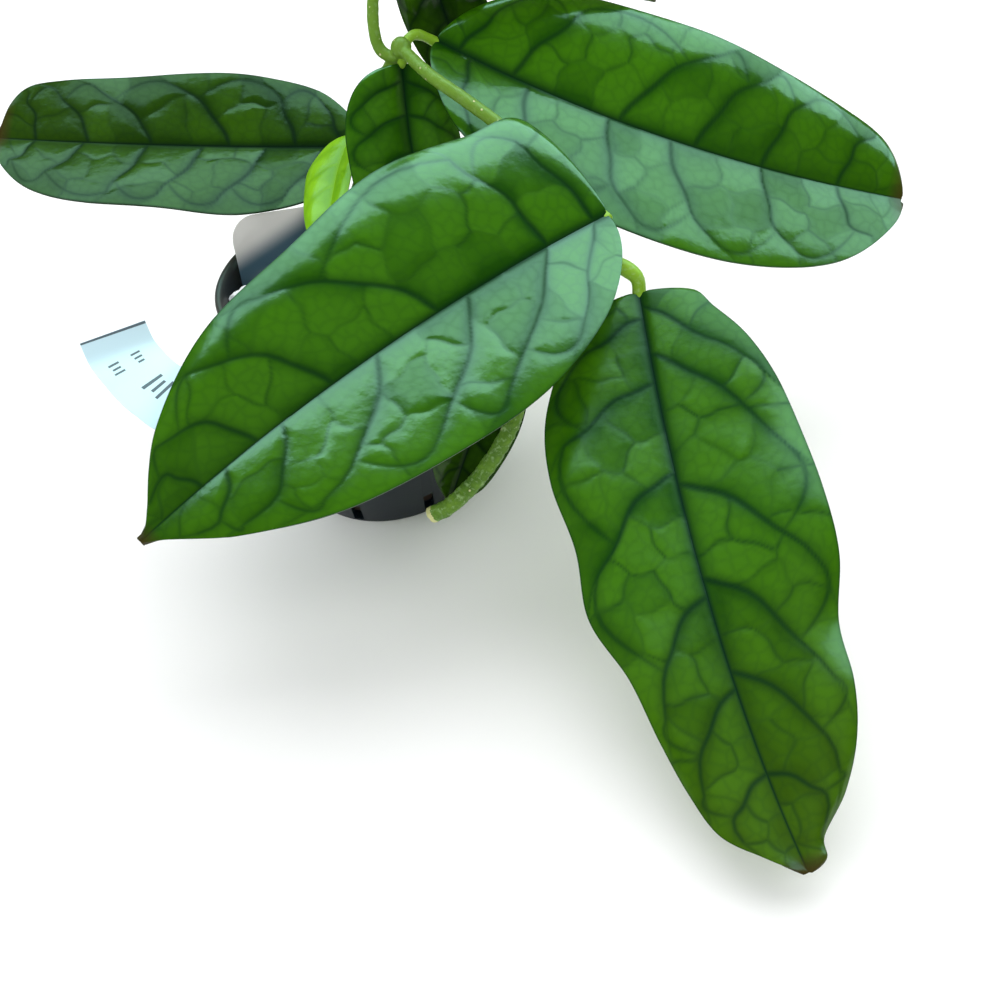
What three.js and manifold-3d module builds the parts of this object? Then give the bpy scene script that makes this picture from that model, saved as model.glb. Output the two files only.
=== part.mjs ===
import * as THREE from 'three';
import { mergeVertices } from 'three/addons/utils/BufferGeometryUtils.js';
import Module from 'manifold-3d';

// A hoya in a round nursery pot, in millimetres with +Z up. The origin is the middle of the pot's
// base, on the surface that the pot stands on. The viewer stands at -Y, and +X is to the right.

// ---- driving dimensions ----

const clearance = 0.3; // between pieces that touch

const pot = {
  height: 90,
  rimRadius: 46.5,
  baseRadius: 35.5,
  wall: 1.6,
  floor: 2.6,
  lipHeight: 9,
  lipStep: 1.6,
  footRise: 1.8,
  footRound: 1.2,
  lipRound: 1.4,
  sides: 48,
  slots: 8,
  slotWidth: 4,
  slotHeight: 8,
  slotFoot: 1.4,
  slotTurn: 22,
};

const soil = {
  top: 79,
  swell: 2.2,
  wallGap: 0.45, // wider than the clearance, because both walls are many-sided
  edgeDip: 1,
  footInset: 2.2,
  rings: 6,
  sides: 32,
  chips: 24,
  chipSize: 3.2,
  chipMargin: 7,
  seed: 7,
};

const perlite = { place: [-34.5, -1, 84], size: [7.4, 5.4, 4.6] };

// Stems: the nodes are the swollen places where leaves grow in pairs.
const nodes = {
  upper: { at: [31, 39, 147], radius: 3.6 },
  lower: { at: [72, -22, 102], radius: 3.9 },
  top: { at: [33, 55, 184], radius: 3.2 },
  back: { at: [18, 56, 104], radius: 3.1 },
  stub: { at: [55, -51, 79], radius: 3.3 },
};

const stems = {
  vine_main: [
    {
      line: [[15, 24, 40], [15, 27, 82], [15, 38, 108], [21, 45, 131], [31, 39, 147]],
      radius: [2.6, 2.3],
      steps: 14,
    },
    {
      line: [[31, 39, 147], [39, 22, 144], [50, 11, 138], [59, 3, 132], [71, -6, 119], [74, -15, 110],
        [72, -22, 102], [65, -37, 89], [55, -51, 79], [49, -60, 64], [38, -65, 49], [23, -69, 37],
        [16, -68, 33]],
      radius: [2.1, 2.9],
      steps: 38,
    },
    {
      line: [[31, 39, 147], [28, 40, 144], [24, 42, 146], [23, 44, 153], [27, 51, 170], [33, 55, 184]],
      radius: [2.1, 1.9],
      steps: 16,
    },
  ],
  vine_back: [
    {
      line: [[-2, 27, 40], [-1, 29, 82], [6, 42, 97], [18, 56, 104]],
      radius: [2.3, 2],
      steps: 16,
    },
  ],
};
const stemSides = 8;

// Leaves. The midrib is an arc from base through mid to tip, face is the way that the upper side
// looks, and left and right are half-widths at even stations from base to tip, which stand
// closer together at the ends. droop is how far the left and right halves, which rise from the
// midrib, bend down again to their margins. petiole is the stalk's way from its node to the base.
const leafForm = {
  thickness: 1.2,
  edge: 0.7,
  ribDepth: 2,
  columns: [0, 0.08, 0.36, 0.72, 1],
  rise: 0.26,
  droop: [0.2, 0.2],
  span: [0.02, 0.985], // where the blade starts and ends along its midrib
  leastWidth: 1.2,
  petioleSides: 6,
  stalkUnder: [0.1, 0.2], // where the stalk runs on under the blade
  stalkDepth: 0.8,
};

const leaves = {
  leaf_front: {
    node: 'lower',
    base: [88, -25, 111],
    mid: [9, -67, 102],
    tip: [-65, -104, 77],
    face: [-0.1, -0.66, 0.75],
    left: [16, 31, 40, 40, 34, 20, 5],
    right: [38, 43, 47, 41, 36, 22, 4],
    droop: [0.04, 0.2],
    petiole: [[79, -20, 104], [85, -23, 109]],
    stalk: 2.2,
    wave: 1.2,
    waves: 2,
    pairs: 6,
    puff: 0.8,
    rows: 25,
  },
  leaf_right_lower: {
    node: 'lower',
    base: [94, -43, 92],
    mid: [95, -131, 48],
    tip: [106, -204, 13],
    face: [-0.15, -0.35, 0.9],
    left: [16, 22, 30, 36, 39, 40, 39, 33, 31, 26, 18, 8, 6],
    right: [12, 22, 30, 36, 37, 34, 35, 28, 25, 22, 18, 9, 3],
    petiole: [[79, -30, 101], [88, -36, 100], [94, -40, 96]],
    stalk: 2.5,
    wave: 2,
    waves: 3,
    pairs: 7,
    puff: 0.6,
    rows: 25,
  },
  leaf_right_upper: {
    node: 'upper',
    base: [43, 45, 145],
    mid: [114, 10, 115],
    tip: [194, -3, 85],
    face: [0.25, -0.65, 0.72],
    left: [18, 32, 39, 40, 35, 28, 18],
    right: [13, 29, 37, 40, 38, 30, 14],
    droop: [0.2, 0.08],
    petiole: [[36, 43, 149]],
    stalk: 2,
    wave: 1,
    waves: 2,
    pairs: 6,
    puff: 0.5,
    rows: 24,
  },
  leaf_left: {
    node: 'back',
    base: [12, 54, 106],
    mid: [-54, 61, 114],
    tip: [-124, 76, 121],
    face: [0.03, -0.35, 0.93],
    left: [14, 30, 36, 34, 33, 26, 13],
    right: [11, 23, 28, 28, 27, 24, 18],
    droop: [0.05, 0.03],
    petiole: [],
    stalk: 1.9,
    wave: 1,
    waves: 2,
    pairs: 6,
    puff: 0.5,
    rows: 24,
  },
  leaf_inner: {
    node: 'upper',
    base: [30, 36, 140],
    mid: [29, 23, 117],
    tip: [31, -4, 90],
    face: [0.1, -0.45, 0.88],
    left: [8, 14, 16, 17, 15, 11, 5],
    right: [10, 17, 21, 22, 21, 15, 6],
    petiole: [],
    stalk: 1.7,
    wave: 0.8,
    waves: 1.5,
    pairs: 5,
    puff: 0.4,
    rows: 18,
  },
  leaf_young: {
    node: 'back',
    base: [8, 43, 117],
    mid: [1, 20, 112],
    tip: [-4, -6, 102],
    face: [-0.45, -0.3, 0.85],
    left: [4, 6, 7, 7, 6, 5, 3],
    right: [7, 11, 14, 13, 11, 8, 4],
    petiole: [[19, 50, 109], [14, 46, 115]],
    stalk: 1.4,
    wave: 0.5,
    waves: 1,
    pairs: 5,
    puff: 0.3,
    rows: 16,
  },
  leaf_low_front: {
    node: 'stub',
    base: [47, -44, 74],
    mid: [35, -53, 54],
    tip: [23, -63, 33],
    face: [0.2, -0.75, 0.6],
    left: [7, 12, 14, 14, 12, 9, 4],
    right: [8, 13, 15, 15, 12, 8, 3],
    petiole: [],
    stalk: 1.5,
    wave: 0.5,
    waves: 1.5,
    pairs: 5,
    puff: 0.3,
    rows: 16,
  },
  leaf_hanging_back: {
    node: 'top',
    base: [42, 57, 174],
    mid: [48, 58, 146],
    tip: [54, 54, 117],
    face: [-0.15, -0.9, 0.35],
    left: [7, 12, 14, 15, 12, 8, 4],
    right: [7, 12, 14, 14, 12, 8, 4],
    petiole: [],
    stalk: 1.6,
    wave: 0.6,
    waves: 1.5,
    pairs: 5,
    puff: 0.3,
    rows: 18,
  },
  leaf_top_right: {
    node: 'top',
    base: [43, 58, 187],
    mid: [84, 62, 171],
    tip: [121, 57, 142],
    face: [0.3, -0.3, 0.9],
    left: [9, 16, 19, 20, 18, 13, 6],
    right: [9, 16, 20, 20, 18, 13, 6],
    petiole: [],
    stalk: 1.7,
    wave: 0.8,
    waves: 2,
    pairs: 5,
    puff: 0.3,
    rows: 18,
  },
  leaf_top_young: {
    node: 'top',
    base: [30, 50, 191],
    mid: [26, 36, 196],
    tip: [20, 20, 190],
    face: [-0.2, -0.2, 1],
    left: [3, 6, 7, 8, 7, 5, 2],
    right: [3, 6, 7, 8, 7, 5, 2],
    petiole: [],
    stalk: 1.3,
    wave: 0.3,
    waves: 1,
    pairs: 4,
    puff: 0.2,
    rows: 14,
  },
};

// A flexible plastic strip, planted inside the rim. across is the way its width lies, from end to end.
const label = {
  width: 22.5,
  thickness: 0.8,
  line: [[-15, -30, 60], [-16, -31, 82], [-17, -34, 93], [-20, -39, 97], [-28, -47, 97], [-38, -53, 92],
    [-48, -54, 87], [-57, -49, 83], [-63, -42, 82], [-68, -36, 82], [-73, -29, 84], [-77, -23, 87],
    [-79, -18, 92]],
  across: [[0.89, -0.45, 0], [0.89, -0.45, 0], [0.89, -0.45, 0], [0.75, -0.6, -0.3], [0, -0.3, -0.95],
    [-0.8, -0.4, -0.3], [-0.9, -0.45, 0], [-0.9, -0.45, 0]],
  rows: 26,
};

const tag = {
  width: 44,
  height: 44,
  corner: 9,
  thickness: 1,
  place: [-17, 4, 64],
  lean: 24,
};

const finish = {
  leafGreen: { color: '#2f6b08', roughness: 0.28 },
  leafYoung: { color: '#86c81f', roughness: 0.35 },
  stem: { color: '#6b8f35', roughness: 0.55 },
  pot: { color: '#2a3036', roughness: 0.35 },
  soil: { color: '#2b211a', roughness: 0.95 },
  perlite: { color: '#e6edf2', roughness: 0.9 },
  label: { color: '#d8ebf4', roughness: 0.4 },
  tag: { color: '#8d9398', roughness: 0.2 },
};

// ---- solids ----

const wasm = await Module();
wasm.setup();

const vector = (point) => new THREE.Vector3(...point);
const lerp = THREE.MathUtils.lerp;
const radians = THREE.MathUtils.degToRad;

function solidFrom(geometry) {
  const bare = geometry.index ? geometry.clone() : geometry;
  bare.deleteAttribute('normal');
  bare.deleteAttribute('uv');
  const merged = mergeVertices(bare, 1e-4);
  return new wasm.Manifold(new wasm.Mesh({
    numProp: 3,
    vertProperties: new Float32Array(merged.attributes.position.array),
    triVerts: new Uint32Array(merged.index.array),
  }));
}

function meshFrom(name, solid, look, place = [0, 0, 0]) {
  const data = solid.getMesh();
  const geometry = new THREE.BufferGeometry();
  geometry.setAttribute('position', new THREE.BufferAttribute(data.vertProperties.slice(), 3));
  geometry.setIndex(new THREE.BufferAttribute(data.triVerts.slice(), 1));
  geometry.translate(-place[0], -place[1], -place[2]);
  geometry.computeVertexNormals();
  const mesh = new THREE.Mesh(geometry, new THREE.MeshStandardMaterial({ metalness: 0, ...look }));
  mesh.name = name;
  mesh.position.set(...place);
  return mesh;
}

function geometryFrom(points, faces) {
  const geometry = new THREE.BufferGeometry();
  geometry.setAttribute('position', new THREE.Float32BufferAttribute(points.flat(), 3));
  geometry.setIndex(faces.flat());
  return geometry;
}

// A closed slab between two alike grids of points, split into triangles alike on both faces.
function slab(top, bottom) {
  const rows = top.length;
  const columns = top[0].length;
  const points = [...top.flat(), ...bottom.flat()];
  const under = rows * columns;
  const faces = [];
  for (let i = 0; i < rows - 1; i += 1) {
    for (let j = 0; j < columns - 1; j += 1) {
      const a = i * columns + j;
      const b = a + 1;
      const c = a + columns;
      const d = c + 1;
      faces.push([a, b, c], [b, d, c]);
      faces.push([under + a, under + c, under + b], [under + b, under + c, under + d]);
    }
  }
  const border = [];
  for (let j = 0; j < columns; j += 1) border.push(j);
  for (let i = 1; i < rows; i += 1) border.push(i * columns + columns - 1);
  for (let j = columns - 2; j >= 0; j -= 1) border.push((rows - 1) * columns + j);
  for (let i = rows - 2; i > 0; i -= 1) border.push(i * columns);
  border.forEach((p, k) => {
    const q = border[(k + 1) % border.length];
    faces.push([p, under + p, q], [q, under + p, under + q]);
  });
  return geometryFrom(points, faces);
}

// A round tube along a curve, closed at both ends. radius is a function of the share of the way.
function tube(curve, radius, steps, sides) {
  const frames = curve.computeFrenetFrames(steps, false);
  const points = [];
  const faces = [];
  for (let i = 0; i <= steps; i += 1) {
    const centre = curve.getPointAt(i / steps);
    const reach = radius(i / steps);
    for (let k = 0; k < sides; k += 1) {
      const turn = (k / sides) * 2 * Math.PI;
      const point = centre.clone()
        .addScaledVector(frames.normals[i], Math.cos(turn) * reach)
        .addScaledVector(frames.binormals[i], Math.sin(turn) * reach);
      points.push(point.toArray());
    }
  }
  for (let i = 0; i < steps; i += 1) {
    for (let k = 0; k < sides; k += 1) {
      const a = i * sides + k;
      const b = i * sides + ((k + 1) % sides);
      faces.push([a, b, a + sides], [b, b + sides, a + sides]);
    }
  }
  const first = points.push(curve.getPointAt(0).toArray()) - 1;
  const last = points.push(curve.getPointAt(1).toArray()) - 1;
  for (let k = 0; k < sides; k += 1) {
    const next = (k + 1) % sides;
    faces.push([first, next, k], [last, steps * sides + k, steps * sides + next]);
  }
  return geometryFrom(points, faces);
}

// ---- pot and soil ----

function potRadius(z) {
  return lerp(pot.baseRadius, pot.rimRadius - pot.lipStep, z / pot.height);
}

function makePot() {
  const { height, lipHeight, lipStep, wall, floor, footRise, rimRadius, baseRadius } = pot;
  const { footRound, lipRound } = pot;
  const lipFoot = height - lipHeight;
  const inside = (z) => potRadius(z) - wall;
  const outline = [
    [0, 0],
    [baseRadius - footRound, 0],
    [baseRadius, footRound],
    [potRadius(lipFoot) - 0.1, lipFoot - 1],
    [potRadius(lipFoot) + lipStep, lipFoot],
    [rimRadius, height - lipRound],
    [rimRadius - 0.35 * lipRound, height - 0.25 * lipRound],
    [rimRadius - lipRound, height],
    [rimRadius - 1.7 * lipRound, height - 0.25 * lipRound],
    [inside(height - 2), height - 2],
    [inside(floor + footRise), floor + footRise],
    [inside(floor) - 2, floor],
    [0, floor],
  ];
  const lathe = new THREE.LatheGeometry(outline.map(([r, z]) => new THREE.Vector2(r, z)), pot.sides);
  let body = solidFrom(lathe.rotateX(Math.PI / 2));
  for (let k = 0; k < pot.slots; k += 1) {
    const cut = new THREE.BoxGeometry(5 * wall, pot.slotWidth, pot.slotHeight);
    cut.translate(baseRadius, 0, pot.slotHeight / 2 + pot.slotFoot);
    cut.rotateZ(radians(pot.slotTurn + (k * 360) / pot.slots));
    body = body.subtract(solidFrom(cut));
  }
  return body;
}

function randomFrom(seed) {
  let state = seed;
  return () => {
    state = (state * 16807) % 2147483647;
    return state / 2147483647;
  };
}

// The potting mix fills the pot. Its top is uneven, and bark chips stand out of it.
function makeSoil() {
  const { top, swell, wallGap, edgeDip, footInset, rings, sides, chips, chipSize, chipMargin } = soil;
  const bottom = pot.floor + clearance;
  const reach = (z) => potRadius(z) - pot.wall - wallGap;
  const heave = (x, y) => swell * (
    0.45 * Math.sin(x * 0.16 + 1) * Math.cos(y * 0.19)
    + 0.3 * Math.sin(x * 0.37 - y * 0.31)
    + 0.25 * Math.cos(x * 0.11 + y * 0.43 + 2)
  );
  const points = [[0, 0, top + heave(0, 0)]];
  for (let ring = 1; ring <= rings; ring += 1) {
    for (let k = 0; k < sides; k += 1) {
      const turn = (k / sides) * 2 * Math.PI;
      const radius = (reach(top) * ring) / rings;
      const x = radius * Math.cos(turn);
      const y = radius * Math.sin(turn);
      points.push([x, y, top + (ring < rings ? heave(x, y) : -edgeDip)]);
    }
  }
  const foot = bottom + pot.footRise;
  const low = points.length;
  for (const [radius, z] of [[reach(foot), foot], [reach(bottom) - footInset, bottom]]) {
    for (let k = 0; k < sides; k += 1) {
      const turn = (k / sides) * 2 * Math.PI;
      points.push([radius * Math.cos(turn), radius * Math.sin(turn), z]);
    }
  }
  const centre = points.push([0, 0, bottom]) - 1;
  const ringStart = (ring) => (ring <= rings ? 1 + (ring - 1) * sides : low + (ring - rings - 1) * sides);
  const faces = [];
  for (let k = 0; k < sides; k += 1) {
    const next = (k + 1) % sides;
    faces.push([0, 1 + k, 1 + next]);
    for (let ring = 1; ring < rings + 2; ring += 1) {
      const a = ringStart(ring);
      const b = ringStart(ring + 1);
      faces.push([a + k, b + k, a + next], [a + next, b + k, b + next]);
    }
    const last = ringStart(rings + 2);
    faces.push([last + k, centre, last + next]);
  }
  let body = solidFrom(geometryFrom(points, faces));
  const random = randomFrom(soil.seed);
  for (let k = 0; k < chips; k += 1) {
    const chip = new THREE.IcosahedronGeometry(chipSize, 0);
    chip.scale(lerp(0.7, 1.6, random()), lerp(0.6, 1, random()), lerp(0.4, 0.7, random()));
    chip.rotateX(lerp(-0.5, 0.5, random()));
    chip.rotateZ(random() * Math.PI);
    const radius = (reach(top) - chipMargin) * Math.sqrt(random());
    const turn = random() * 2 * Math.PI;
    const x = radius * Math.cos(turn);
    const y = radius * Math.sin(turn);
    chip.translate(x, y, top + heave(x, y) + 0.2);
    body = body.add(solidFrom(chip));
  }
  return body;
}

function makePerlite(grow = 0) {
  const lump = new THREE.IcosahedronGeometry(1, 2);
  const position = lump.attributes.position;
  for (let i = 0; i < position.count; i += 1) {
    const p = new THREE.Vector3().fromBufferAttribute(position, i);
    const bump = 1 + 0.07 * Math.sin(p.x * 7 + p.y * 5) + 0.06 * Math.cos(p.z * 8 - p.y * 6);
    p.multiplyScalar(bump);
    position.setXYZ(
      i,
      p.x * (perlite.size[0] + grow),
      p.y * (perlite.size[1] + grow),
      p.z * (perlite.size[2] + grow),
    );
  }
  return solidFrom(lump.translate(...perlite.place));
}

// ---- stems ----

function makeStem(name, grow = 0) {
  let body = null;
  for (const run of stems[name]) {
    const line = run.line.map(vector);
    const start = line[0].clone().sub(line[1]).setLength(grow);
    line[0].add(start);
    const curve = new THREE.CatmullRomCurve3(line, false, 'centripetal');
    const radius = (share) => lerp(run.radius[0], run.radius[1], share) + grow;
    const piece = solidFrom(tube(curve, radius, run.steps, stemSides));
    body = body ? body.add(piece) : piece;
    for (const node of Object.values(nodes)) {
      const met = run.line.some((point) => vector(point).distanceTo(vector(node.at)) < 0.01);
      if (met) {
        const ball = new THREE.IcosahedronGeometry(node.radius + grow, 1);
        body = body.add(solidFrom(ball.translate(...node.at)));
      }
    }
  }
  return body;
}

// ---- leaves ----

// A smooth line through even stations, with zero before the first and after the last.
function widthAt(stations, share) {
  const values = [0, ...stations, 0];
  const x = THREE.MathUtils.clamp(share, 0, 1) * (values.length - 1);
  const i = Math.min(Math.floor(x), values.length - 2);
  const f = x - i;
  const a = i > 0 ? values[i - 1] : -values[1];
  const [b, c] = [values[i], values[i + 1]];
  const d = i + 2 < values.length ? values[i + 2] : -values[values.length - 2];
  const [slope, bow, turn] = [c - a, 2 * a - 5 * b + 4 * c - d, 3 * b - a - 3 * c + d];
  return 0.5 * (2 * b + slope * f + bow * f ** 2 + turn * f ** 3);
}

// The place and the three directions of a leaf at a share u of its length, 0 at the base.
function leafFrame(leaf, u) {
  const [base, mid, tip] = [vector(leaf.base), vector(leaf.mid), vector(leaf.tip)];
  const bend = mid.clone().multiplyScalar(2).addScaledVector(base.clone().add(tip), -0.5);
  const curve = new THREE.QuadraticBezierCurve3(base, bend, tip);
  const t = (1 - Math.cos(Math.PI * u)) / 2;
  const along = curve.getTangent(t);
  const right = along.clone().cross(vector(leaf.face)).normalize();
  const up = right.clone().cross(along);
  return { centre: curve.getPoint(t), along, right, up, t };
}

// How far the middle of the blade stands above the flat at a share s across, -1 left to 1 right.
function leafHeight(leaf, t, s, width) {
  const across = Math.abs(s);
  const droop = (leaf.droop ?? leafForm.droop)[s > 0 ? 1 : 0];
  const fold = width * (leafForm.rise * across - droop * across ** 3);
  const sideways = s > 0 ? 0.35 : 0;
  const wave = leaf.wave * across ** 2 * Math.sin(2 * Math.PI * (leaf.waves * t + sideways));
  const pillow = Math.abs(Math.sin(Math.PI * leaf.pairs * (t - 0.16 * across)));
  const quilt = leaf.puff * (pillow - 0.5) * Math.sin(Math.PI * Math.min(across * 1.15, 1));
  return fold + (wave + quilt) * Math.sin(Math.PI * Math.min(t * 1.4 + 0.05, 0.5));
}

function makeBlade(leaf) {
  const { thickness, edge, ribDepth, columns, span, leastWidth } = leafForm;
  const shares = [...columns.slice(1).map((s) => -s).reverse(), ...columns];
  const top = [];
  const bottom = [];
  for (let i = 0; i <= leaf.rows; i += 1) {
    const u = lerp(...span, i / leaf.rows);
    const { centre, right, up, t } = leafFrame(leaf, u);
    const upper = [];
    const lower = [];
    for (const s of shares) {
      const width = Math.max(widthAt(s < 0 ? leaf.left : leaf.right, u), leastWidth);
      const height = leafHeight(leaf, t, s, width);
      const point = centre.clone().addScaledVector(right, width * s).addScaledVector(up, height);
      const half = lerp(thickness, edge, Math.abs(s) ** 2) / 2;
      const rib = s === 0 ? ribDepth * (1 - 0.85 * t) : 0;
      upper.push(point.clone().addScaledVector(up, half).toArray());
      lower.push(point.clone().addScaledVector(up, -half - rib).toArray());
    }
    top.push(upper);
    bottom.push(lower);
  }
  return solidFrom(slab(top, bottom));
}

function makeLeaf(leaf) {
  const line = [nodes[leaf.node].at, ...leaf.petiole, leaf.base].map(vector);
  for (const u of leafForm.stalkUnder) {
    const { centre, up } = leafFrame(leaf, u);
    line.push(centre.addScaledVector(up, -leafForm.stalkDepth));
  }
  const curve = new THREE.CatmullRomCurve3(line, false, 'centripetal');
  const taper = (share) => leaf.stalk * (1 - Math.max(0, share - 0.5));
  const stalk = solidFrom(tube(curve, taper, 3 + 2 * line.length, leafForm.petioleSides));
  return makeBlade(leaf).add(stalk);
}

// ---- strip and tag ----

function makeLabel(grow = 0) {
  const curve = new THREE.CatmullRomCurve3(label.line.map(vector), false, 'centripetal');
  const turning = new THREE.CatmullRomCurve3(label.across.map(vector));
  const half = label.width / 2 + grow;
  const top = [];
  const bottom = [];
  for (let i = 0; i <= label.rows; i += 1) {
    const share = i / label.rows;
    const along = curve.getTangentAt(share);
    const across = turning.getPoint(share);
    across.addScaledVector(along, -across.dot(along)).normalize();
    const up = across.clone().cross(along).multiplyScalar(label.thickness / 2 + grow);
    const centre = curve.getPointAt(share).addScaledVector(along, i === 0 ? -grow : 0);
    const edges = [-half, 0, half].map((reach) => centre.clone().addScaledVector(across, reach));
    top.push(edges.map((point) => point.clone().add(up).toArray()));
    bottom.push(edges.map((point) => point.clone().sub(up).toArray()));
  }
  return solidFrom(slab(top, bottom));
}

function makeTag(grow = 0) {
  const { width, height, corner } = tag;
  const x = width / 2 + grow;
  const shape = new THREE.Shape();
  shape.moveTo(-x, -grow);
  shape.lineTo(x, -grow);
  shape.lineTo(x, height - corner);
  shape.absarc(x - corner, height - corner, corner, 0, Math.PI / 2, false);
  shape.absarc(-x + corner, height - corner, corner, Math.PI / 2, Math.PI, false);
  shape.closePath();
  const depth = tag.thickness + 2 * grow;
  const plate = new THREE.ExtrudeGeometry(shape, { depth, bevelEnabled: false, curveSegments: 6 });
  plate.translate(0, 0, -depth / 2);
  plate.rotateX(radians(90 - tag.lean));
  return solidFrom(plate.translate(...tag.place));
}

// ---- the plant in its pot ----

const plant = new THREE.Group();
plant.add(meshFrom('pot', makePot(), finish.pot));

let mix = makeSoil();
for (const planted of [makePerlite, makeLabel, makeTag]) {
  mix = mix.subtract(planted(clearance));
}
for (const name of Object.keys(stems)) {
  mix = mix.subtract(makeStem(name, clearance));
}
plant.add(meshFrom('soil', mix, finish.soil));
plant.add(meshFrom('perlite_lump', makePerlite(), finish.perlite));
plant.add(meshFrom('label_strip', makeLabel(), finish.label));
plant.add(meshFrom('tag_wide', makeTag(), finish.tag));

for (const name of Object.keys(stems)) {
  plant.add(meshFrom(name, makeStem(name), finish.stem));
}

for (const [name, leaf] of Object.entries(leaves)) {
  let body = makeLeaf(leaf);
  for (const stem of Object.keys(stems)) {
    body = body.subtract(makeStem(stem, clearance));
  }
  const look = name.includes('young') ? finish.leafYoung : finish.leafGreen;
  plant.add(meshFrom(name, body, look, leaf.base));
}

export default plant;
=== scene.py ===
import math
from functools import partial

import bpy
import numpy as np
from mathutils import Matrix, Vector, noise


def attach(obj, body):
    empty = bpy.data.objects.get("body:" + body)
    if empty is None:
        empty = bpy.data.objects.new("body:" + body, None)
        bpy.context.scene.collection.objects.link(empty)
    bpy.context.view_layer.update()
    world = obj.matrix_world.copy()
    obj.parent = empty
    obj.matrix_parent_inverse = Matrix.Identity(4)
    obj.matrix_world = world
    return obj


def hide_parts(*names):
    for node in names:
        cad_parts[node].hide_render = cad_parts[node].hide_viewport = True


# A hoya in a nursery pot. Sizes are in millimetres, and mm turns them to Blender's metres.
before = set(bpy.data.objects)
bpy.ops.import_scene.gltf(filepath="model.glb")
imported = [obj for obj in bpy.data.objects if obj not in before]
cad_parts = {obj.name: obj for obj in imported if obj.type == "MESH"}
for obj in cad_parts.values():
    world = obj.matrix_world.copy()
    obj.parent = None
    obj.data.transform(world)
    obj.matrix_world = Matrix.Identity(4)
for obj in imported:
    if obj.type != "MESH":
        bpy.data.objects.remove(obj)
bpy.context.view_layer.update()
bpy.ops.object.select_all(action="DESELECT")
mm = 0.001


def fromHex(code):  # an sRGB colour as linear red, green, blue and alpha
    parts = [int(code[k:k + 2], 16) / 255 for k in (1, 3, 5)]
    linear = [p / 12.92 if p <= 0.04045 else ((p + 0.055) / 1.055) ** 2.4 for p in parts]
    return (*linear, 1)


def newMaterial(name, surface):  # surface holds values for the shader's own sockets
    material = bpy.data.materials.new(name)
    material.use_nodes = True
    shader = material.node_tree.nodes["Principled BSDF"]
    for socket, value in surface.items():
        shader.inputs[socket].default_value = value
    return material, shader, partial(addNode, material.node_tree)


def plug(node, links):
    for key, socket in links.items():
        node.id_data.links.new(socket, node.inputs[key])


mainOutput = {"Mix": 2, "Attribute": "Fac", "TexCoord": "Object", "VectorMath": "Value"}  # others' is first


def addNode(tree, kind, settings=None, links=None):  # gives the new node's main output
    node = tree.nodes.new("ShaderNode" + kind)
    for key, value in (settings or {}).items():
        if isinstance(key, int) or key in node.inputs:
            node.inputs[key].default_value = fromHex(value) if str(value).startswith("#") else value
        else:
            setattr(node, key, value)
    plug(node, links or {})
    return node.outputs[mainOutput.get(kind, 0)]


def unit(rows):
    return rows / np.linalg.norm(rows, axis=-1, keepdims=True)


def readPoints(piece):  # a mesh's points in millimetres
    flat = np.zeros(len(piece.data.vertices) * 3)
    piece.data.vertices.foreach_get("co", flat)
    return flat.reshape(-1, 3) / mm


def writePoints(piece, points):
    piece.data.vertices.foreach_set("co", (points * mm).ravel())
    piece.data.update()


def onlySelect(*pieces):
    bpy.ops.object.select_all(action="DESELECT")
    for piece in pieces:
        piece.select_set(True)
    bpy.context.view_layer.objects.active = pieces[0]


def applyModifier(piece, kind, settings):
    onlySelect(piece)
    modifier = piece.modifiers.new(kind.title(), kind)
    for key, value in settings.items():
        setattr(modifier, key, value)
    bpy.ops.object.modifier_apply(modifier=modifier.name)


def joinPieces(name, pieces):
    onlySelect(*pieces)
    if len(pieces) > 1:
        bpy.ops.object.join()
    piece = bpy.context.object
    piece.name = name
    bpy.ops.object.transform_apply()
    return piece


def finishPiece(piece, nodes=(), look=None, degrees=None):  # edges over so many degrees stay sharp
    if look:
        piece.data.materials.clear()
        piece.data.materials.append(look)
    if degrees:
        onlySelect(piece)
        bpy.ops.object.shade_smooth_by_angle(angle=math.radians(degrees))
    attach(piece, "root")
    if nodes:
        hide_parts(*nodes)
    print("made", piece.name, len(piece.data.polygons), "faces")


def throughPoints(points, shares):  # a smooth line through points, at shares of their count
    knots = np.array(points, float)
    knots = np.vstack([2 * knots[0] - knots[1], knots, 2 * knots[-1] - knots[-2]])
    places = []
    for share in shares:
        x = min(max(share, 0), 1) * (len(knots) - 3)
        k = min(int(x), len(knots) - 4)
        f = x - k
        a, b, c, d = knots[k:k + 4]
        before, between, after = (np.linalg.norm(q - p) ** 0.5 for p, q in ((a, b), (b, c), (c, d)))
        between = between if between > 1e-4 else 1
        before = before if before > 1e-4 else between
        after = after if after > 1e-4 else between
        leave = between * ((b - a) / before - (c - a) / (before + between) + (c - b) / between)
        arrive = between * ((c - b) / between - (d - b) / (between + after) + (d - c) / after)
        cubic = (2 * b - 2 * c + leave + arrive) * f ** 3
        places.append(cubic + (3 * c - 3 * b - 2 * leave - arrive) * f ** 2 + leave * f + b)
    return np.array(places)


def lengthsTo(line):  # how far along a line each of its points is
    return np.concatenate([[0], np.cumsum(np.linalg.norm(np.diff(line, axis=0), axis=1))])


def readAt(places, knots, rows):  # rows of three numbers, read between their knots
    return np.stack([np.interp(places, knots, rows[:, k]) for k in range(3)], axis=1)


def evenLine(points, steps):  # the same line in even steps of length
    finer = 40
    fine = throughPoints(points, np.linspace(0, 1, finer * len(points)))
    reach = lengthsTo(fine)
    return readAt(np.linspace(0, reach[-1], steps + 1), reach, fine)


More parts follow.
